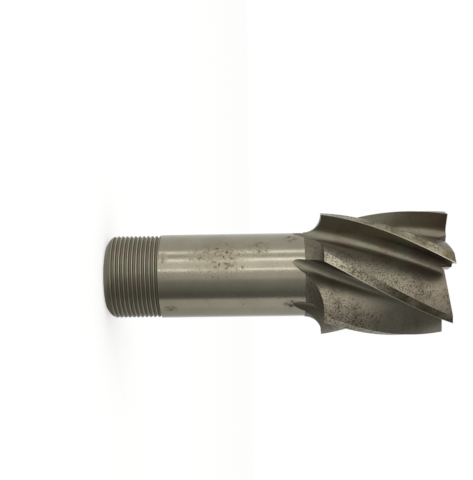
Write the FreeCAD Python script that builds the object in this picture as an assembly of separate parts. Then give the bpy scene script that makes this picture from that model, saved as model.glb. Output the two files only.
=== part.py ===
# A six-flute helical end mill with a parallel screwed shank, cut from one bar of high speed steel.
# The tool's axis is Z. The origin is the middle of the rear face, and the cutting end points up.
import FreeCAD, Part
import math
import os

from FreeCAD import Vector

# Shank, ground to size for the collet
shank_diameter = 25.0
shank_end = 59.0              # from the rear face to where the grinding stops

# Draw-in thread at the rear end of the shank, kept here as the plain cylinder of its crests
thread_diameter = 24.6
thread_length = 16.4
rear_chamfer = 2.4

# Neck, left as turned, which sweeps up from the shank to the head
neck_step = 0.15              # stock that the grinding of the shank took off below it
neck_radius = 5.1             # radius of the sweep

# Head
overall_length = 101.1
head_diameter = 37.0
grinding_allowance = 0.1      # on the radius, before the lands are ground

# Teeth
tooth_count = 6
helix_angle = 29.2            # right-hand, measured at the cutting edge
first_edge_angle = -97.4      # where one cutting edge meets the end face
rake_angle = 8.0
flute_below_shank = 1.5       # how far the bottom of a flute lies inside the shank's surface
flute_root_radius = 3.0
back_radius = 19.0            # of the rounded back, behind the land
land_width = 3.2              # round the circumference
land_relief_angle = 5.5
flute_cutter_radius = 36.0    # of the disc that milled the flutes
run_out_into_head = 0.35      # the disc begins to lift out this far beyond the start of the head

# End teeth
end_relief_angle = 7.0
end_clearance_angle = 14.0
end_land_width = 3.4
end_dish_angle = 1.2
gash_depth_inner = 2.2
gash_depth_outer = 4.2
gash_angle = 45.0             # between its two walls
end_recess_diameter = 12.5
end_recess_depth = 2.6

# Centre holes, one in each end
centre_angle = 60.0
centre_mouth_diameter = 5.3
centre_pilot_diameter = 2.5
centre_depth = 5.2

# Worked out from the sizes above
axis = Vector(0, 0, 1)
shank_radius = shank_diameter / 2
head_radius = head_diameter / 2
core_radius = shank_radius - flute_below_shank
blank_radius = head_radius + grinding_allowance
neck_start_radius = shank_radius + neck_step
neck_sweep = min(neck_radius, 0.9 * (blank_radius - neck_start_radius))
head_start = shank_end + neck_sweep
full_depth_from = head_start + run_out_into_head
tooth_pitch = 360.0 / tooth_count
degrees_per_mm = math.degrees(math.tan(math.radians(helix_angle)) / head_radius)
land_span = math.degrees(land_width / head_radius)
overrun = 2.0                 # how far a cutting form reaches past the metal
arc_step = 24.0               # a round stretch of a section is drawn as arcs of at most this many degrees
clear_radius = head_radius + 3 * overrun
flute_step = 4.7              # along the tool, between the sections that a flute is built on
run_out_step = 1.7            # the same where the flute runs out


def polar(radius, degrees):
    angle = math.radians(degrees)
    return Vector(radius * math.cos(angle), radius * math.sin(angle), 0)


def round_stretch(centre, start, end):
    """Short arcs, end to end, from one point to another round a centre."""
    radius = (start - centre).Length
    first = math.atan2(start.y - centre.y, start.x - centre.x)
    turn = math.atan2(end.y - centre.y, end.x - centre.x) - first
    turn = (turn + math.pi) % (2 * math.pi) - math.pi
    count = math.ceil(abs(math.degrees(turn)) / arc_step)

    def at(share):
        return centre + polar(radius, math.degrees(first + turn * share))

    return [Part.Arc(at(k / count), at((k + 0.5) / count), at((k + 1) / count)).toShape() for k in range(count)]


def turned_blank():
    """The bar after turning: thread end, shank, neck and head, with both centre holes."""
    points = [
        Vector(0, 0, 0),
        Vector(thread_diameter / 2 - rear_chamfer, 0, 0),
        Vector(thread_diameter / 2, rear_chamfer, 0),
        Vector(thread_diameter / 2, thread_length, 0),
        Vector(shank_radius, thread_length, 0),
        Vector(shank_radius, shank_end, 0),
        Vector(neck_start_radius, shank_end, 0),
    ]
    sweep_centre = Vector(neck_start_radius + neck_sweep, shank_end, 0)
    sweep_end = sweep_centre + Vector(0, neck_sweep, 0)
    outer = [
        sweep_end,
        Vector(blank_radius, head_start, 0),
        Vector(blank_radius, overall_length, 0),
        Vector(0, overall_length, 0),
        points[0],
    ]
    edges = [Part.makeLine(a, b) for a, b in zip(points, points[1:])]
    edges += round_stretch(sweep_centre, points[-1], sweep_end)
    edges += [Part.makeLine(a, b) for a, b in zip(outer, outer[1:])]
    profile = Part.Face(Part.Wire(edges))
    profile.rotate(Vector(0, 0, 0), Vector(1, 0, 0), 90)
    blank = profile.revolve(Vector(0, 0, 0), axis, 360)
    blank = blank.cut(centre_hole())
    end_centre = centre_hole()
    end_centre.rotate(Vector(0, 0, 0), Vector(1, 0, 0), 180)
    end_centre.translate(Vector(0, 0, overall_length - end_recess_depth))
    recess = Part.makeCylinder(end_recess_diameter / 2, end_recess_depth + overrun,
                               Vector(0, 0, overall_length - end_recess_depth))
    return blank.cut(end_centre).cut(recess)


def centre_hole():
    """A lathe centre's cone and the pilot drill's hole, entering upwards from Z = 0."""
    mouth = centre_mouth_diameter / 2
    pilot = centre_pilot_diameter / 2
    slope = math.tan(math.radians(centre_angle / 2))
    cone_depth = (mouth - pilot) / slope
    cone = Part.makeCone(mouth + overrun * slope, pilot, cone_depth + overrun, Vector(0, 0, -overrun))
    drill = Part.makeCylinder(pilot, centre_depth)
    return cone.fuse(drill)


def circles_meet(centre_a, radius_a, centre_b, radius_b):
    """The point nearer the tool's axis where two circles cross."""
    apart = centre_b - centre_a
    distance = apart.Length
    along = (distance ** 2 + radius_a ** 2 - radius_b ** 2) / (2 * distance)
    across = math.sqrt(radius_a ** 2 - along ** 2)
    foot = centre_a + apart * (along / distance)
    side = Vector(-apart.y, apart.x, 0) * (across / distance)
    return min(foot + side, foot - side, key=lambda point: point.Length)


def flute_section():
    """The flute across the tool's axis, with the cutting edge of its leading tooth on the X axis.

    A straight rake face leads down to a round root, and from there the rounded back of the
    next tooth climbs to the heel of that tooth's land. The rest closes the form outside.
    """
    rake = math.radians(rake_angle)
    inward = Vector(-math.cos(rake), -math.sin(rake), 0)
    into_flute = Vector(-math.sin(rake), math.cos(rake), 0)
    edge = Vector(head_radius, 0, 0)
    offset_edge = edge + into_flute * flute_root_radius
    reach = offset_edge.dot(inward)
    root_orbit = core_radius + flute_root_radius
    depth = -reach - math.sqrt(reach ** 2 - offset_edge.Length ** 2 + root_orbit ** 2)
    root_centre = offset_edge + inward * depth
    rake_foot = edge + inward * depth
    heel_drop = land_width * math.tan(math.radians(land_relief_angle))
    heel = polar(head_radius - heel_drop, tooth_pitch - land_span)
    back_centre = circles_meet(heel, back_radius, root_centre, back_radius + flute_root_radius)
    to_back = (back_centre - root_centre).normalize()
    root_end = root_centre + to_back * flute_root_radius
    radial = (heel - back_centre).normalize()
    leaving = Vector(-radial.y, radial.x, 0)
    rake_top = edge - inward * overrun
    back_top = heel + leaving * overrun
    apex = polar(clear_radius, tooth_pitch / 2)
    edges = [Part.makeLine(rake_top, rake_foot)]
    edges += round_stretch(root_centre, rake_foot, root_end)
    edges += round_stretch(back_centre, root_end, heel)
    edges.append(Part.makeLine(heel, back_top))
    edges.append(Part.makeLine(back_top, apex))
    edges.append(Part.makeLine(apex, rake_top))
    return Part.Wire(edges), root_centre.normalize()


def steps_between(low, high, step):
    """Heights from low to high, evenly spaced and no further apart than a step."""
    count = math.ceil((high - low) / step)
    return [low + (high - low) * k / count for k in range(count + 1)]


def twisted(section, height, lift):
    """A section moved outwards by lift, raised to its height and turned to the helix there."""
    wire = section.copy()
    wire.translate(lift)
    wire.translate(Vector(0, 0, height))
    turn = first_edge_angle + degrees_per_mm * (height - overall_length)
    wire.rotate(Vector(0, 0, 0), axis, turn)
    return wire


def lift_at(height):
    """How far the disc cutter has risen out of the flute at a height on the tool."""
    travel = (full_depth_from - height) / math.cos(math.radians(helix_angle))
    if travel <= 0:
        return 0.0
    return flute_cutter_radius - math.sqrt(flute_cutter_radius ** 2 - travel ** 2)


def flute_cutter():
    """What one flute takes away, from past the end face to where the disc leaves the shank."""
    section, outwards = flute_section()
    rise = flute_below_shank + overrun / 2
    travel = math.sqrt(rise * (2 * flute_cutter_radius - rise))
    run_out = travel * math.cos(math.radians(helix_angle))
    heights = steps_between(full_depth_from - run_out, full_depth_from, run_out_step)[:-1]
    heights += steps_between(full_depth_from, overall_length + overrun, flute_step)
    wires = [twisted(section, height, outwards * lift_at(height)) for height in heights]
    return Part.makeLoft(wires, True, True)


def land_grinding():
    """What the grinding of one tooth's land takes away: a thin wedge that starts at the edge."""
    slope = math.tan(math.radians(land_relief_angle))
    edge = Vector(head_radius, 0, 0)
    ahead = edge + Vector(slope, 1, 0) * (overrun / 2)
    behind = edge - Vector(slope, 1, 0) * (land_width + overrun)
    out = Vector(overrun, 0, 0)
    section = Part.makePolygon([ahead, behind, behind + out, ahead + out, ahead])
    heights = steps_between(head_start - overrun, overall_length + overrun, flute_step)
    wires = [twisted(section, height, Vector(0, 0, 0)) for height in heights]
    return Part.makeLoft(wires, True, True)


def end_relief():
    """What the grinding of one end tooth takes away, behind its edge along the X axis."""
    dish = math.tan(math.radians(end_dish_angle))
    first_drop = end_land_width * math.tan(math.radians(end_relief_angle))
    second_width = clear_radius - end_land_width
    second_drop = second_width * math.tan(math.radians(end_clearance_angle))
    top = overall_length + overrun

    def across(radius, height):
        return Part.makePolygon([
            Vector(radius, 0, height),
            Vector(radius, -end_land_width, height - first_drop),
            Vector(radius, -clear_radius, height - first_drop - second_drop),
            Vector(radius, -clear_radius, top),
            Vector(radius, 0, top),
            Vector(radius, 0, height),
        ])

    outer = across(clear_radius, overall_length + (clear_radius - head_radius) * dish)
    inner = across(0, overall_length - head_radius * dish)
    wedge = Part.makeLoft([inner, outer], True, True)
    sector_points = [
        Vector(0, 0, 0),
        polar(2 * clear_radius, 0),
        polar(2 * clear_radius, -tooth_pitch / 2),
        polar(2 * clear_radius, -tooth_pitch + rake_angle / 4),
        Vector(0, 0, 0),
    ]
    sector = Part.Face(Part.makePolygon(sector_points)).extrude(Vector(0, 0, 2 * overall_length))
    return wedge.common(sector)


def end_gash():
    """The V-shaped gash in front of one end tooth, whose upright wall is that tooth's end rake."""
    lean = math.tan(math.radians(gash_angle))
    top = overrun

    def across(radius, depth):
        height = overall_length
        return Part.makePolygon([
            Vector(radius, 0, height + top),
            Vector(radius, 0, height - depth),
            Vector(radius, (depth + top) * lean, height + top),
            Vector(radius, 0, height + top),
        ])

    inner_radius = end_recess_diameter / 4
    return Part.makeLoft([across(inner_radius, gash_depth_inner), across(clear_radius, gash_depth_outer)],
                         True, True)


def cut_around(body, form):
    """Cuts a form from the body once for each tooth."""
    forms = []
    for tooth in range(tooth_count):
        forms.append(form.copy())
        forms[-1].rotate(Vector(0, 0, 0), axis, tooth * tooth_pitch)
    return body.cut(forms)


def end_mill():
    body = turned_blank()
    body = cut_around(body, flute_cutter())
    body = cut_around(body, land_grinding())
    for form in (end_relief(), end_gash()):
        form.rotate(Vector(0, 0, 0), axis, first_edge_angle)
        body = cut_around(body, form)
    return body


os.makedirs("parts", exist_ok=True)
shape = end_mill()
shape.exportStep("parts/end_mill.step")
print("end_mill: solids", len(shape.Solids), "valid", shape.isValid(), "volume", round(shape.Volume, 1))
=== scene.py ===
import math

import bmesh
import bpy
import numpy as np
from mathutils import Matrix, Vector


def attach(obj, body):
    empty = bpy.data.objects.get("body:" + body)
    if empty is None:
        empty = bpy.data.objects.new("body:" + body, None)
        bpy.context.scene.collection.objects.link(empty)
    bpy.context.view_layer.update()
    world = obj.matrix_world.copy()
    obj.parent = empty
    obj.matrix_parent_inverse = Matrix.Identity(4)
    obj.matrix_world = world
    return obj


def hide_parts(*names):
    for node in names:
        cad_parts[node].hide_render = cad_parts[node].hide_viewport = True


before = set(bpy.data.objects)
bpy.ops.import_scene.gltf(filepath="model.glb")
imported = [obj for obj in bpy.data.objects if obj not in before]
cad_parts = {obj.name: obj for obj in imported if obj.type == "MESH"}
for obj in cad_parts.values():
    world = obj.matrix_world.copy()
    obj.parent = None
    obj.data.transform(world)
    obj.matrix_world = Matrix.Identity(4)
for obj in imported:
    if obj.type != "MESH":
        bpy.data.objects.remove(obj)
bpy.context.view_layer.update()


# The screwed shank: one bar of high speed steel, turned, hardened and ground to size.
# Its rear end carries the thread that draws the tool into its chuck, rounded where it
# starts, and a 60 degree centre hole. All lengths are in millimetres until the mesh is made.
shank_radius = 12.5
shank_end = 59.0
thread_radius = 12.3
thread_length = 16.4
thread_pitch = 1.27
thread_depth = 0.52
crest_width = 0.26
first_crest = 2.34
rear_chamfer = 2.4
edge_bulge = 0.45
centre_mouth = 2.65
centre_pilot = 1.25
centre_depth = 5.2

tooth_count = 6
columns_per_tooth = 46
columns = tooth_count * columns_per_tooth
helix_angle = math.radians(29.2)
head_radius = 18.5
overall_length = 101.1
first_edge_angle = math.radians(-97.4)
twist = math.tan(helix_angle) / head_radius

SHANK, THREAD, NECK, FLUTE, LAND, END = range(6)
vertices = []
faces = []
zones = []


def add_ring(points):
    """Stores one ring of points and gives the numbers of its vertices."""
    start = len(vertices)
    vertices.extend(tuple(point) for point in points)
    return list(range(start, start + len(points)))


def join_rings(lower, upper, zone):
    """Faces between two rings. zone is one number, or one for each column."""
    n = len(lower)
    for i in range(n):
        k = (i + 1) % n
        faces.append((lower[i], lower[k], upper[k], upper[i]))
        zones.append(zone if isinstance(zone, int) else zone[i])


def circle(radius, height, angles):
    return [(radius * math.cos(a), radius * math.sin(a), height) for a in angles]


def thread_form(height):
    """Depth below the crest of a 55 degree thread whose crests are worn flat."""
    along = (height / thread_pitch) % 1.0
    off_crest = min(along, 1.0 - along) * thread_pitch
    flank = (off_crest - crest_width / 2) / math.tan(math.radians(27.5))
    return min(max(flank, 0.0), thread_depth)


def rear_radius(height):
    """The rounded rear edge, which the thread runs into."""
    share = min(height / rear_chamfer, 1.0)
    return thread_radius - rear_chamfer * (1 - share) + edge_bulge * math.sin(math.pi * share)


run_out_radius = 36.0
full_depth_from = 64.45
core_radius = 11.0
deepest = shank_radius - core_radius
tip_travel = math.sqrt(deepest * (2 * run_out_radius - deepest))
tongue_tip_height = full_depth_from - tip_travel * math.cos(helix_angle)
tip_turn = first_edge_angle + twist * (tongue_tip_height - overall_length)
thread_start = first_crest + thread_pitch * (tip_turn + math.pi / 2) / (2 * math.pi)

# The thread is a grid that winds up with the helix, so each crest is one clean line.
thread_columns = columns // 2
steps_per_turn = 12
thread_step = thread_pitch / steps_per_turn
thread_rows = math.ceil(thread_length / thread_step) + steps_per_turn + 3
grid = []
for row in range(thread_rows):
    points = []
    for column in range(thread_columns):
        share = column / thread_columns
        height = (row - steps_per_turn - 1) * thread_step + share * thread_pitch
        height = min(max(height, 0.0), thread_length)
        radius = thread_radius - thread_form(height - share * thread_pitch - thread_start)
        radius = min(radius, rear_radius(height))
        angle = tip_turn + 2 * math.pi * share
        points.append((radius * math.cos(angle), radius * math.sin(angle), height))
    grid.append(add_ring(points))
for row in range(thread_rows - 1):
    for column in range(thread_columns):
        after = column + 1
        lift_rows = 0
        if after == thread_columns:
            after = 0
            lift_rows = steps_per_turn
        if row + 1 + lift_rows >= thread_rows:
            continue
        faces.append((grid[row][column], grid[row + lift_rows][after],
                      grid[row + 1 + lift_rows][after], grid[row + 1][column]))
        zones.append(THREAD)

# The rear face with its centre hole
rear_angles = [tip_turn + 2 * math.pi * i / thread_columns for i in range(thread_columns)]
cone_depth = (centre_mouth - centre_pilot) / math.tan(math.radians(30))
rear = [
    add_ring(circle(centre_pilot, centre_depth, rear_angles)),
    add_ring(circle(centre_pilot, cone_depth, rear_angles)),
    add_ring(circle(centre_mouth, 0.0, rear_angles)),
    add_ring(circle(thread_radius - rear_chamfer, 0.0, rear_angles)),
]
for inner, outer in zip(rear, rear[1:]):
    join_rings(inner, outer, THREAD)
faces.append(tuple(rear[0]))
zones.append(THREAD)

# The step up from the thread to the ground shank
step_inner = []
for i, angle in enumerate(rear_angles):
    share = i / thread_columns
    radius = thread_radius - thread_form(thread_length - share * thread_pitch - thread_start)
    step_inner.append((radius * math.cos(angle), radius * math.sin(angle), thread_length))
step_inner = add_ring(step_inner)
shank_angles = [tip_turn + 2 * math.pi * i / columns for i in range(columns)]
shank_bottom = add_ring(circle(shank_radius, thread_length, shank_angles))
for i in range(thread_columns):
    k = (i + 1) % thread_columns
    b0, b1, b2 = (shank_bottom[(2 * i + step) % columns] for step in range(3))
    faces.append((step_inner[i], b1, b0))
    faces.append((step_inner[i], step_inner[k], b1))
    faces.append((step_inner[k], b2, b1))
    zones.extend([THREAD] * 3)


# The cutting head and its neck: six helical teeth, milled from the solid with a disc cutter
# that lifts out over the neck and leaves a tongue-shaped run-out in the shank. Rake face,
# round root and rounded back are as milled; the narrow lands behind the edges are ground.
neck_start_radius = 12.65
neck_sweep = 5.1
head_start = 64.1
blank_radius = 18.6
rake_angle = math.radians(8)
flute_root_radius = 3.0
back_radius = 19.0
land_width = 3.2
land_slope = math.tan(math.radians(5.5))
pitch_angle = 2 * math.pi / tooth_count
flute_columns = 32
land_columns = columns_per_tooth - flute_columns


def arc_points(centre, start, end, count):
    radius = np.linalg.norm(start - centre)
    first = math.atan2(*(start - centre)[::-1])
    turn = math.atan2(*(end - centre)[::-1]) - first
    turn = (turn + math.pi) % (2 * math.pi) - math.pi
    angles = first + turn * np.linspace(0, 1, count)
    return centre + radius * np.stack([np.cos(angles), np.sin(angles)], 1)


# One flute across the axis, with the cutting edge at (head_radius, 0)
inward = np.array([-math.cos(rake_angle), -math.sin(rake_angle)])
into_flute = np.array([-math.sin(rake_angle), math.cos(rake_angle)])
edge_point = np.array([head_radius, 0.0])
offset_edge = edge_point + into_flute * flute_root_radius
reach = float(offset_edge @ inward)
root_orbit = core_radius + flute_root_radius
rake_depth = -reach - math.sqrt(reach ** 2 - float(offset_edge @ offset_edge) + root_orbit ** 2)
root_centre = offset_edge + inward * rake_depth
rake_foot = edge_point + inward * rake_depth
heel_angle = pitch_angle - land_width / head_radius
heel_direction = np.array([math.cos(heel_angle), math.sin(heel_angle)])
heel = (head_radius - land_width * land_slope) * heel_direction
apart = root_centre - heel
distance = float(np.linalg.norm(apart))
along = (distance ** 2 + back_radius ** 2 - (back_radius + flute_root_radius) ** 2) / (2 * distance)
across = np.array([-apart[1], apart[0]]) / distance * math.sqrt(back_radius ** 2 - along ** 2)
foot = heel + apart * along / distance
back_centre = min((foot + across, foot - across), key=np.linalg.norm)
to_back = (back_centre - root_centre) / np.linalg.norm(back_centre - root_centre)
root_end = root_centre + to_back * flute_root_radius
radial = (heel - back_centre) / np.linalg.norm(heel - back_centre)
leaving = np.array([-radial[1], radial[0]])

# The same flute as a fine line of points, which runs a little past the bar at both ends.
# The root gets more than its share of the columns.
run_past = 3
rake_samples = 700
arc_samples = 900
heel_samples = 200
root_density = 2.2
flute_line = np.concatenate([
    np.linspace(edge_point - inward * run_past, rake_foot, rake_samples)[:-1],
    arc_points(root_centre, rake_foot, root_end, arc_samples)[:-1],
    arc_points(back_centre, root_end, heel, arc_samples)[:-1],
    np.linspace(heel, heel + leaving * run_past, heel_samples),
])
line_steps = np.linalg.norm(np.diff(flute_line, axis=0), axis=1)
density = np.ones(len(line_steps))
density[rake_samples - 1:rake_samples + arc_samples - 2] = root_density
line_weight = np.concatenate([[0], np.cumsum(line_steps * density)])
outwards = root_centre / np.linalg.norm(root_centre)


def lift_at(height):
    """How far the disc cutter has lifted out of the flute."""
    travel = max(full_depth_from - height, 0) / math.cos(helix_angle)
    return run_out_radius - math.sqrt(run_out_radius ** 2 - travel ** 2)


def outer_radius(angles, blank, ground):
    """The bar's own radius, or the ground land where that lies inside it."""
    off_edge = np.where(angles < pitch_angle / 2, angles, angles - pitch_angle)
    land = head_radius / (np.cos(off_edge) - land_slope * np.sin(off_edge))
    return np.minimum(blank, land) if ground else np.full_like(angles, blank)


def tooth_row(height, blank, ground):
    """One ring across the flutes: for each tooth its flute, then the land of the next."""
    line = flute_line + outwards * lift_at(height)
    radius = np.hypot(line[:, 0], line[:, 1])
    angle = np.arctan2(line[:, 1], line[:, 0])
    gap = radius - outer_radius(angle, blank, ground)
    inside = np.nonzero(gap < 0)[0]
    first, last = inside[0], inside[-1]
    share = gap[first - 1] / (gap[first - 1] - gap[first])
    weight_first = line_weight[first - 1] + share * (line_weight[first] - line_weight[first - 1])
    share = gap[last] / (gap[last] - gap[last + 1])
    weight_last = line_weight[last] + share * (line_weight[last + 1] - line_weight[last])
    weights = np.linspace(weight_first, weight_last, flute_columns + 1)
    xs = np.interp(weights, line_weight, line[:, 0])
    ys = np.interp(weights, line_weight, line[:, 1])
    start = math.atan2(ys[-1], xs[-1])
    stop = pitch_angle + math.atan2(ys[0], xs[0])
    land_angles = np.linspace(start, stop, land_columns + 1)[1:-1]
    land_radius = outer_radius(land_angles, blank, ground)
    xs = np.concatenate([xs, land_radius * np.cos(land_angles)])
    ys = np.concatenate([ys, land_radius * np.sin(land_angles)])
    turn = first_edge_angle + twist * (height - overall_length)
    points = []
    for tooth in range(tooth_count):
        a = turn + tooth * pitch_angle
        points.extend(zip(xs * math.cos(a) - ys * math.sin(a),
                          xs * math.sin(a) + ys * math.cos(a),
                          [height] * len(xs)))
    return points


def column_zones(outside):
    return ([FLUTE] * flute_columns + [outside] * land_columns) * tooth_count


# Plain shank up to the tips of the run-outs, its columns closing in on the tips.
# Each ring: its share of the way to the tips' bearings, and its height.
first_cut = tongue_tip_height + 0.01
tip_angles = []
for even, point in zip(shank_angles, tooth_row(first_cut, shank_radius, False)):
    a = math.atan2(point[1], point[0])
    tip_angles.append(even + (a - even + math.pi) % (2 * math.pi) - math.pi)
ring = shank_bottom
plain_rings = ((0, 17.1), (0, 25), (0, 34), (0.1, 41.5), (0.4, 47.5), (0.8, 52), (1, 55.1))
for share, height in plain_rings:
    angles = [even + (a - even) * share for even, a in zip(shank_angles, tip_angles)]
    upper = add_ring(circle(shank_radius, height, angles))
    join_rings(ring, upper, SHANK)
    ring = upper

# Each row: its height, the bar's radius there, whether the lands are ground, and the finish
# of what is not flute. A square step is thin_step high, so that it stays one clean line.
thin_step = 0.03
curve_rows = 16
rows = [(first_cut, shank_radius, False, SHANK)]
for k in range(1, curve_rows + 1):
    height = tongue_tip_height + (shank_end - tongue_tip_height) * (k / curve_rows) ** 2
    rows.append((height, shank_radius, False, SHANK))
rows.append((shank_end + thin_step, neck_start_radius, False, NECK))
for k in range(1, curve_rows + 1):
    a = math.pi / 2 * k / curve_rows
    height = max(shank_end + neck_sweep * math.sin(a), shank_end + 0.05)
    rows.append((height, neck_start_radius + neck_sweep * (1 - math.cos(a)), False, NECK))
rows.append((head_start + thin_step, blank_radius, True, NECK))
rows.append((head_start + 0.4, blank_radius, True, LAND))
head_rows = 30
height = full_depth_from
join_height = 89.5
while height < join_height - 0.01:
    rows.append((height, blank_radius, True, LAND))
    height += (join_height - full_depth_from) / head_rows
rows.append((join_height, blank_radius, True, LAND))

for height, blank, ground, outside in rows:
    upper = add_ring(tooth_row(height, blank, ground))
    join_rings(ring, upper, column_zones(outside))
    ring = upper
bar_vertices, bar_faces, bar_zones = vertices, faces, zones

# The cutting end as a block of its own, for the end teeth to be ground into
vertices, faces, zones = [], [], []
ring = add_ring(tooth_row(join_height, blank_radius, True))
faces.append(tuple(reversed(ring)))
zones.append(END)
end_rows = 16
end_stock = 1.0
for k in range(1, end_rows + 1):
    height = join_height + (overall_length + end_stock - join_height) * k / end_rows
    upper = add_ring(tooth_row(height, blank_radius, True))
    join_rings(ring, upper, column_zones(LAND))
    ring = upper
faces.append(tuple(ring))
zones.append(END)


# The tool's finishes. These helpers each add one step to a material and give its output,
# and finish_metal is the shader that all the steel ends in.
def colour(code):
    """An sRGB hex colour as linear numbers."""
    values = [int(code[i:i + 2], 16) / 255 for i in (1, 3, 5)]
    linear = [v / 12.92 if v <= 0.04045 else ((v + 0.055) / 1.055) ** 2.4 for v in values]
    return (*linear, 1.0)


def add(tree, kind, inputs=None, **settings):
    """Adds a node. inputs gives a socket its value, or the output that it is linked to."""
    made = tree.nodes.new(kind)
    for name, value in settings.items():
        setattr(made, name, value)
    for socket, value in (inputs or {}).items():
        if isinstance(value, bpy.types.NodeSocket):
            tree.links.new(value, made.inputs[socket])
        else:
            made.inputs[socket].default_value = value
    return made


def place_on_steel(tree):
    """The point on the steel, in metres from the middle of the rear face."""
    return add(tree, "ShaderNodeTexCoord").outputs["Object"]


def axes_of(tree, place):
    return add(tree, "ShaderNodeSeparateXYZ", {0: place}).outputs


def noise(tree, place, size, detail, roughness=0.5):
    """Clouds or specks of about this size in millimetres."""
    return add(tree, "ShaderNodeTexNoise", {
        "Vector": place, "Scale": 1000 / size, "Detail": detail, "Roughness": roughness,
    }).outputs["Fac"]


def reckon(tree, operation, *values, clamp=False):
    """One step of arithmetic on up to three values."""
    return add(tree, "ShaderNodeMath", dict(enumerate(values)),
               operation=operation, use_clamp=clamp).outputs[0]


def ramp(tree, value, low, high, at_low=0.0, at_high=1.0, ease="LINEAR"):
    """Goes from at_low to at_high while value goes from low to high."""
    return add(tree, "ShaderNodeMapRange", {0: value, 1: low, 2: high, 3: at_low, 4: at_high},
               interpolation_type=ease).outputs[0]


def blend(tree, share, under, over):
    """Mixes two colours, each given as a hex code or as an output."""
    under, over = (colour(tint) if isinstance(tint, str) else tint for tint in (under, over))
    return add(tree, "ShaderNodeMix", {0: share, 6: under, 7: over}, data_type="RGBA").outputs[2]


def new_material(name):
    made = bpy.data.materials.new(name)
    made.use_nodes = True
    made.node_tree.nodes.clear()
    return made, made.node_tree


def finish_metal(tree, base, roughness, height, bump_distance, strength=1.0, metallic=1.0):
    """Steel with a bump from height. Oil and oxide lower metallic."""
    bump = add(tree, "ShaderNodeBump", {
        "Height": height, "Distance": bump_distance, "Strength": strength})
    shader = add(tree, "ShaderNodeBsdfPrincipled", {
        "Base Color": base, "Roughness": roughness, "Metallic": metallic,
        "Normal": bump.outputs[0]})
    add(tree, "ShaderNodeOutputMaterial", {"Surface": shader.outputs[0]})


# Ground high speed steel of the shank: bright, with fine rings from the wheel, duller towards
# the rear with painted shade on the side away from the lamps, and pits with brown bloom where a
# marking was once etched.
ground, tree = new_material("ground_tool_steel")
place = place_on_steel(tree)
axes = axes_of(tree, place)
rings = add(tree, "ShaderNodeTexNoise", {"W": axes[2], "Scale": 1000 / 0.5, "Detail": 3.0},
            noise_dimensions="1D").outputs["Fac"]
clouds = noise(tree, place, 7.0, 4.0)
spots = noise(tree, place, 0.9, 5.0, 0.6)
# each patch: its bearing and height, its size round the shank and along it, its strength
rust_patches = (
    (-25, 33.5, 7.0, 10.5, 0.13),
    (-40, 46.0, 3.0, 3.6, 0.16),
    (-23, 17.6, 2.8, 1.7, 0.12),
    (50, 19.6, 1.6, 2.2, 0.12),
    (44, 55.0, 2.0, 3.0, 0.2),
    (-58, 55.0, 2.4, 3.0, 0.16),
)
level = spots
bloom = 0.0
for bearing, patch_height, across, length, strength in rust_patches:
    a = math.radians(bearing)
    middle = Vector((shank_radius * math.sin(a), -shank_radius * math.cos(a), patch_height)) * 0.001
    away = add(tree, "ShaderNodeVectorMath", {0: place, 1: middle}, operation="SUBTRACT")
    stretch = (1000 / across, 1000 / across, 1000 / length)
    shrunk = add(tree, "ShaderNodeVectorMath", {0: away.outputs[0], 1: stretch},
                 operation="MULTIPLY")
    off_middle = add(tree, "ShaderNodeVectorMath", {0: shrunk.outputs[0]}, operation="LENGTH")
    patch = ramp(tree, off_middle.outputs["Value"], 0.4, 1.2, 1.0, 0.0, "SMOOTHSTEP")
    level = reckon(tree, "MULTIPLY_ADD", patch, strength, level)
    bloom = reckon(tree, "MAXIMUM", patch, bloom)
pits = ramp(tree, level, 0.72, 0.8, 0.0, 0.85)
halo = ramp(tree, level, 0.6, 0.76, 0.0, 0.4)
stain = reckon(tree, "MULTIPLY_ADD", bloom, 0.16, halo)
steel = blend(tree, clouds, "#7F7A6B", "#999483")
# darker towards the rear end, and strongest on the +X side away from the lamps, where it is painted
# shade
to_rear = ramp(tree, axes[2], 0.05, 0.018)
painted_shade_side = ramp(tree, axes[0], 0.001, 0.008, 0.25, 1.0)
rear_dulling_and_painted_shade = reckon(tree, "MULTIPLY", reckon(tree, "MULTIPLY", to_rear, painted_shade_side), 0.3)
dulled_and_shaded = blend(tree, rear_dulling_and_painted_shade, steel, "#6E6A56")
stained = blend(tree, stain, dulled_and_shaded, "#6E5F45")
pitted = blend(tree, pits, stained, "#40382A")
rear_rough = ramp(tree, axes[2], 0.016, 0.045, 0.2, 0.185)
rough = reckon(tree, "MULTIPLY_ADD", stain, 0.6, rear_rough)
height = reckon(tree, "SUBTRACT", reckon(tree, "MULTIPLY", rings, 0.15), pits)
finish_metal(tree, pitted, rough, height, 0.00003, 0.3)

# The thread, cut and never ground: dark oxide and old oil in the grooves, crests rubbed bright.
screwed, tree = new_material("screw_cut_steel")
place = place_on_steel(tree)
axes = axes_of(tree, place)
flat = add(tree, "ShaderNodeCombineXYZ", {0: axes[0], 1: axes[1]})
off_axis = add(tree, "ShaderNodeVectorMath", {0: flat.outputs[0]}, operation="LENGTH")
rubbed_from = (thread_radius - 0.21) / 1000
rubbed_full = (thread_radius - 0.02) / 1000
crest = ramp(tree, off_axis.outputs["Value"], rubbed_from, rubbed_full)
clouds = noise(tree, place, 6.0, 5.0, 0.6)
reddened = ramp(tree, clouds, 0.42, 0.66)
grime = blend(tree, reddened, "#6A6857", "#74685B")
worn = blend(tree, crest, grime, "#969280")
rough = ramp(tree, crest, 0.0, 1.0, 0.5, 0.36)
finish_metal(tree, worn, rough, clouds, 0.00004, 0.5, 0.85)

# The neck, left as turned and heat treated: mottled dark scale with short scratches.
turned, tree = new_material("turned_neck_steel")
place = place_on_steel(tree)
clouds = noise(tree, place, 0.5, 6.0, 0.75)
grain = noise(tree, place, 0.4, 4.0, 0.7)
scale = blend(tree, ramp(tree, clouds, 0.38, 0.62), "#4F4B40", "#77715F")
finish_metal(tree, scale, 0.46, grain, 0.00004, 0.5, 0.85)

edge_phase = 0.08


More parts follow.
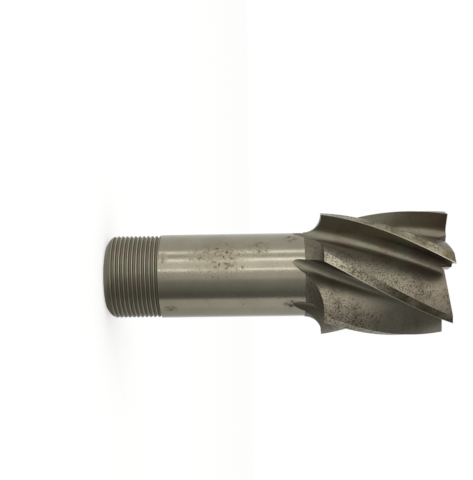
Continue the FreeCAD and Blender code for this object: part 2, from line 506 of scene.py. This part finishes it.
def round_the_tooth(tree, place):
    """Goes from 0 on one land to 1 on the next. The cutting edge is at edge_phase."""
    axes = axes_of(tree, place)
    bearing = reckon(tree, "ARCTAN2", axes[1], axes[0])
    start = twist * overall_length - first_edge_angle + edge_phase * pitch_angle
    wind = reckon(tree, "MULTIPLY_ADD", axes[2], -twist * 1000, start)
    unwound = reckon(tree, "ADD", bearing, wind)
    return reckon(tree, "FRACT", reckon(tree, "MULTIPLY", unwound, 1 / pitch_angle))


# Milled flutes: smooth dark olive steel under the edges and in the root, with the rounded
# backs paler, browner towards the tip, and thick with fine rust pits.
milled, tree = new_material("milled_flute_steel")
place = place_on_steel(tree)
phase = round_the_tooth(tree, place)
clouds = noise(tree, place, 6.0, 5.0, 0.6)
specks = noise(tree, place, 0.45, 4.0, 0.7)
on_back = ramp(tree, phase, 0.4, 0.62)
metal = blend(tree, on_back, "#706D5D", "#8F8875")
cloudy = ramp(tree, clouds, 0.45, 0.68, 0.0, 0.6)
to_tip = ramp(tree, axes_of(tree, place)[2], 0.086, 0.1, 0.0, 0.55)
stained = reckon(tree, "ADD", cloudy, to_tip, clamp=True)
browned = blend(tree, stained, metal, "#66574A")
thick = ramp(tree, phase, 0.42, 0.75, 0.0, 0.09, "SMOOTHSTEP")
speck_level = reckon(tree, "ADD", thick, specks)
speck_level = reckon(tree, "MULTIPLY_ADD", clouds, 0.12, speck_level)
# a darker patch on the lower back, with fewer rust pits
darker_patch_middle = (0.017, -0.006, 0.091)
away = add(tree, "ShaderNodeVectorMath", {0: place, 1: darker_patch_middle}, operation="DISTANCE")
spared = ramp(tree, away.outputs["Value"], 0.009, 0.017, 1.0, 0.0, "SMOOTHSTEP")
speck_level = reckon(tree, "MULTIPLY_ADD", spared, -0.06, speck_level)
with_darker_patch = blend(tree, reckon(tree, "MULTIPLY", spared, 0.55), browned, "#66665A")
pits = ramp(tree, speck_level, 0.665, 0.715, 0.0, 0.85)
pitted = blend(tree, pits, with_darker_patch, "#38322A")
rough = ramp(tree, on_back, 0.0, 1.0, 0.32, 0.36)
height = reckon(tree, "SUBTRACT", 1.0, pits)
finish_metal(tree, pitted, rough, height, 0.00003, 0.5, 0.85)

# Ground lands behind the cutting edges: pale bright steel with small dark pits, browner and
# smoother towards the tip, with a painted highlight: a bright line along the edge itself, where
# light catches it.
land_steel, tree = new_material("ground_land_steel")
place = place_on_steel(tree)
phase = round_the_tooth(tree, place)
specks = noise(tree, place, 0.6, 5.0, 0.7)
clouds = noise(tree, place, 5.0, 4.0)
to_tip = ramp(tree, axes_of(tree, place)[2], 0.066, 0.096, -0.16, 0.22)
cloudy = ramp(tree, reckon(tree, "ADD", clouds, to_tip), 0.36, 0.76)
browned = blend(tree, cloudy, "#9C9682", "#5C5643")
speck_level = reckon(tree, "MULTIPLY_ADD", to_tip, -0.12, specks)
pits = ramp(tree, speck_level, 0.5, 0.57, 0.0, 0.72)
pitted = blend(tree, pits, browned, "#3A3327")
# painted highlight: a bright line at the cutting edge stands in for the light that the edge catches
painted_edge_highlight = reckon(tree, "COMPARE", phase, edge_phase, 0.012)
with_edge_highlight = blend(tree, painted_edge_highlight, pitted, "#A8A28F")
height = reckon(tree, "SUBTRACT", 1.0, pits)
finish_metal(tree, with_edge_highlight, 0.35, height, 0.00004, 0.5)

# The end teeth: ground and gashed by hand, clean grey steel with a little brown.
end_steel, tree = new_material("ground_end_steel")
place = place_on_steel(tree)
clouds = noise(tree, place, 4.0, 5.0)
scratches = noise(tree, place, 0.6, 4.0)
browned = blend(tree, ramp(tree, clouds, 0.42, 0.68, 0.0, 0.6), "#8E897A", "#675B47")
finish_metal(tree, browned, 0.34, scratches, 0.00003, 0.4)

steels = [ground, screwed, turned, milled, land_steel, end_steel]


def mesh_object(name, points, polygons, zone_list):
    """A form from points in millimetres, each face with the steel of its zone."""
    mesh = bpy.data.meshes.new(name)
    mesh.from_pydata([tuple(c * 0.001 for c in p) for p in points], [], polygons)
    for material in steels:
        mesh.materials.append(material)
    mesh.polygons.foreach_set("material_index", zone_list)
    mesh.update()
    made = bpy.data.objects.new(name, mesh)
    bpy.context.scene.collection.objects.link(made)
    return made


cutter = mesh_object("cutter", bar_vertices, bar_faces, bar_zones)
tip = mesh_object("cutting_end", vertices, faces, zones)


# The end teeth: each is relieved behind its edge in two slopes and gashed in front of it to
# the middle, which is recessed round the other centre hole, so the tool faces but can't plunge.
end_relief_slopes = (math.tan(math.radians(7)), math.tan(math.radians(14)))
end_land_width = 3.4
end_dish = math.tan(math.radians(1.2))
gash_lean = math.tan(math.radians(45))
gash_depth_inner = 2.2
gash_depth_outer = 4.2
recess_radius = 6.25
recess_depth = 2.6
far = 24.5
clear_above = 2
above = overall_length + clear_above
sector_floor = 85.0
sector_gap = math.radians(2)


def solid_between(name, lower, upper):
    """A closed form between two like outlines."""
    n = len(lower)
    points = list(lower) + list(upper)
    sides = [(i, (i + 1) % n, n + (i + 1) % n, n + i) for i in range(n)]
    sides += [tuple(reversed(range(n))), tuple(range(n, 2 * n))]
    made = mesh_object(name, points, sides, [END] * len(sides))
    work = bmesh.new()
    work.from_mesh(made.data)
    bmesh.ops.recalc_face_normals(work, faces=work.faces)
    work.to_mesh(made.data)
    work.free()
    return made


def apply_boolean(target, tool, operation):
    modifier = target.modifiers.new("cut", "BOOLEAN")
    modifier.operation = operation
    modifier.solver = "EXACT"
    modifier.object = tool
    bpy.context.view_layer.update()
    evaluated = target.evaluated_get(bpy.context.evaluated_depsgraph_get())
    result = bpy.data.meshes.new_from_object(evaluated)
    target.modifiers.clear()
    target.data = result
    bpy.data.objects.remove(tool)


def relief_outline(radius):
    """What the wheel takes off above one end tooth, from 1 mm ahead of its edge."""
    top_height = overall_length + (radius - head_radius) * end_dish
    first = top_height - end_land_width * end_relief_slopes[0]
    second = first - far * end_relief_slopes[1]
    return [(radius, 1, top_height + end_relief_slopes[0]),
            (radius, -end_land_width, first),
            (radius, -end_land_width - far, second),
            (radius, -end_land_width - far, above + 1),
            (radius, 1, above + 1)]


for tooth in range(tooth_count):
    form = solid_between("relief", relief_outline(-3), relief_outline(far))
    corners = [0, -pitch_angle / 2, -pitch_angle + sector_gap]
    fan = [(0.0, 0.0)] + [(2 * far * math.cos(a), 2 * far * math.sin(a)) for a in corners]
    sector = solid_between("sector", [p + (sector_floor,) for p in fan],
                           [p + (above,) for p in fan])
    apply_boolean(form, sector, "INTERSECT")
    outlines = []
    for radius, depth in ((recess_radius / 2, gash_depth_inner), (far, gash_depth_outer)):
        outlines.append([(radius, 0, above), (radius, 0, overall_length - depth),
                         (radius, (depth + clear_above) * gash_lean, above)])
    apply_boolean(form, solid_between("gash", *outlines), "UNION")
    form.data.transform(Matrix.Rotation(first_edge_angle + tooth * pitch_angle, 4, "Z"))
    apply_boolean(tip, form, "DIFFERENCE")

hole_columns = 96
even = [2 * math.pi * i / hole_columns for i in range(hole_columns)]
floor_height = overall_length - recess_depth
profile = [(recess_radius, above), (recess_radius, floor_height), (centre_mouth, floor_height),
           (centre_pilot, floor_height - cone_depth), (centre_pilot, floor_height - centre_depth)]
vertices, faces, zones = [], [], []
hole = [add_ring(circle(r, h, even)) for r, h in profile]
for upper, lower in zip(hole, hole[1:]):
    join_rings(lower, upper, END)
faces += [tuple(hole[0]), tuple(reversed(hole[-1]))]
zones += [END, END]
recess = mesh_object("recess", vertices, faces, zones)
apply_boolean(tip, recess, "DIFFERENCE")

# Bar and cutting end become one closed skin, with a hard line wherever two finishes meet.
# The shank's own normals point straight out, so that its reflections run in clean lines.
skin = bmesh.new()
skin.from_mesh(tip.data)
caps = [f for f in skin.faces
        if all(abs(v.co.z - join_height * 0.001) < 1e-7 for v in f.verts)]
bmesh.ops.delete(skin, geom=caps, context="FACES_ONLY")
skin.from_mesh(cutter.data)
bmesh.ops.remove_doubles(skin, verts=skin.verts, dist=2e-7)
bmesh.ops.dissolve_degenerate(skin, dist=1e-7, edges=skin.edges)
bmesh.ops.recalc_face_normals(skin, faces=skin.faces)
for edge in skin.edges:
    if len(edge.link_faces) == 2:
        first, second = edge.link_faces
        limit = 5 if END in (first.material_index, second.material_index) else 30
        hard = first.material_index != second.material_index
        edge.smooth = not (hard or edge.calc_face_angle(0) > math.radians(limit))
for face in skin.faces:
    face.smooth = True
open_edges = sum(1 for edge in skin.edges if len(edge.link_faces) != 2)
print("skin:", len(skin.verts), "vertices", len(skin.faces), "faces", open_edges, "open edges")
skin.to_mesh(cutter.data)
skin.free()
mesh = cutter.data
normals = [Vector(normal.vector) for normal in mesh.corner_normals]
for face in mesh.polygons:
    if face.material_index == SHANK:
        for corner in face.loop_indices:
            point = mesh.vertices[mesh.loops[corner].vertex_index].co
            normals[corner] = Vector((point.x, point.y, 0)).normalized()
mesh.normals_split_custom_set(normals)
bpy.data.objects.remove(tip)
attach(cutter, "root")
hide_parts("end_mill")


# Studio: a white floor that keeps the tool's soft shadow, a white surround, long soft lamps
# beside the tool, and grey and dark cards that give the bright steel its dark reflections.
def flat_card(name, half_width, half_length, material):
    mesh = bpy.data.meshes.new(name)
    w, d = half_width, half_length
    mesh.from_pydata([(-w, -d, 0), (w, -d, 0), (w, d, 0), (-w, d, 0)], [], [(0, 1, 2, 3)])
    mesh.materials.append(material)
    made = bpy.data.objects.new(name, mesh)
    bpy.context.scene.collection.objects.link(made)
    return made


def is_seen(tree):
    """1 for a ray from the camera, a reflection or glass, and 0 for light on a matt surface."""
    path = add(tree, "ShaderNodeLightPath").outputs
    seen = reckon(tree, "MAXIMUM", path["Is Camera Ray"], path["Is Glossy Ray"])
    return reckon(tree, "MAXIMUM", seen, path["Is Transmission Ray"])


white, tree = new_material("white_floor")
paint = add(tree, "ShaderNodeBsdfDiffuse", {"Color": colour("#E8E8E6")}).outputs[0]
glow = add(tree, "ShaderNodeEmission", {"Color": (1, 1, 1, 1), "Strength": 0.5}).outputs[0]
lit = add(tree, "ShaderNodeAddShader", {0: paint, 1: glow}).outputs[0]
shown = add(tree, "ShaderNodeMixShader", {0: is_seen(tree), 1: paint, 2: lit}).outputs[0]
add(tree, "ShaderNodeOutputMaterial", {"Surface": shown})
floor = flat_card("floor", 3, 3, white)
# reflections pass the floor, so that the lamps' streaks run down the shank to the thread
floor.visible_glossy = False

world = bpy.data.worlds.new("surround")
bpy.context.scene.world = world
world.use_nodes = True
tree = world.node_tree
tree.nodes.clear()
strength = ramp(tree, is_seen(tree), 0.0, 1.0, 0.6, 1.0)
surround = add(tree, "ShaderNodeBackground", {"Color": (1, 1, 1, 1), "Strength": strength})
add(tree, "ShaderNodeOutputWorld", {"Surface": surround.outputs[0]})

studio_distance = 0.5
studio_height = 0.12
lamp_length = 0.9
card_half_length = 0.8


def facing_axis(obj, bearing, height=studio_height):
    """Stands a lamp or card beside the tool. Bearing 0 is in front and 90 along +X."""
    a = math.radians(bearing)
    back = Vector((math.sin(a), -math.cos(a), 0))
    up = Vector((0, 0, 1))
    obj.location = back * studio_distance + up * height
    obj.rotation_euler = Matrix((up.cross(back), up, back)).transposed().to_euler()


# each lamp: its bearing, width and radiance
lamps = (
    ("strip_one", -66, 0.055, 2.3),
    ("strip_two", -43, 0.05, 3.0),
    ("strip_three", -16, 0.03, 3.6),
    ("soft_panel", -30, 0.16, 0.6),
)
for name, bearing, width, radiance in lamps:
    lamp = bpy.data.lights.new(name, "AREA")
    lamp.shape = "RECTANGLE"
    lamp.size = width
    lamp.size_y = lamp_length
    lamp.energy = radiance * math.pi * width * lamp_length
    strip = bpy.data.objects.new(name, lamp)
    bpy.context.scene.collection.objects.link(strip)
    facing_axis(strip, bearing)
    strip.visible_camera = False


def board(name, half_width, near_side, far_side):
    """A card that only reflections see. Its glow fades from one side edge to the other."""
    card, tree = new_material(name)
    across = axes_of(tree, place_on_steel(tree))[0]
    fade = ramp(tree, across, -half_width, half_width * 0.4, near_side, far_side)
    glow = add(tree, "ShaderNodeEmission", {"Color": (1, 1, 1, 1), "Strength": fade}).outputs[0]
    add(tree, "ShaderNodeOutputMaterial", {"Surface": glow})
    made = flat_card(name, half_width, card_half_length, card)
    made.visible_camera = False
    made.visible_diffuse = False
    made.visible_shadow = False
    return made


facing_axis(board("dark_board", 0.266, 0.62, 0.24), 38)
facing_axis(board("grey_board", 0.244, 0.9, 0.75), 124)
facing_axis(board("high_board", 0.34, 0.2, 0.2), 94, 0.95)
board("low_board", 0.25, 0.25, 0.25).location = (0.275, 0.1, -0.1)


# Camera: a 70 mm lens 280 mm from the tool's axis, turned on its side, so that the standing
# tool lies across the picture with its cutting end to the right.
roll, pitch, yaw = (math.radians(v) for v in (-0.81, -2.18, 1.66))
turned_view = (Matrix.Rotation(roll, 3, "Z") @ Matrix.Rotation(pitch, 3, "X")
               @ Matrix.Rotation(yaw, 3, "Y"))
right, down, forward = (Vector((row[1], row[2], row[0])) for row in turned_view)
camera_data = bpy.data.cameras.new("camera")
camera_data.lens = 69.51
camera_data.sensor_width = 36.0
camera_data.clip_start = 0.01
camera = bpy.data.objects.new("camera", camera_data)
bpy.context.scene.collection.objects.link(camera)
placed = Matrix((right, -down, -forward)).transposed().to_4x4()
placed.translation = Vector((0, -0.28, 0.047))
camera.matrix_world = placed
bpy.context.scene.camera = camera
bpy.context.scene.view_settings.view_transform = "Standard"
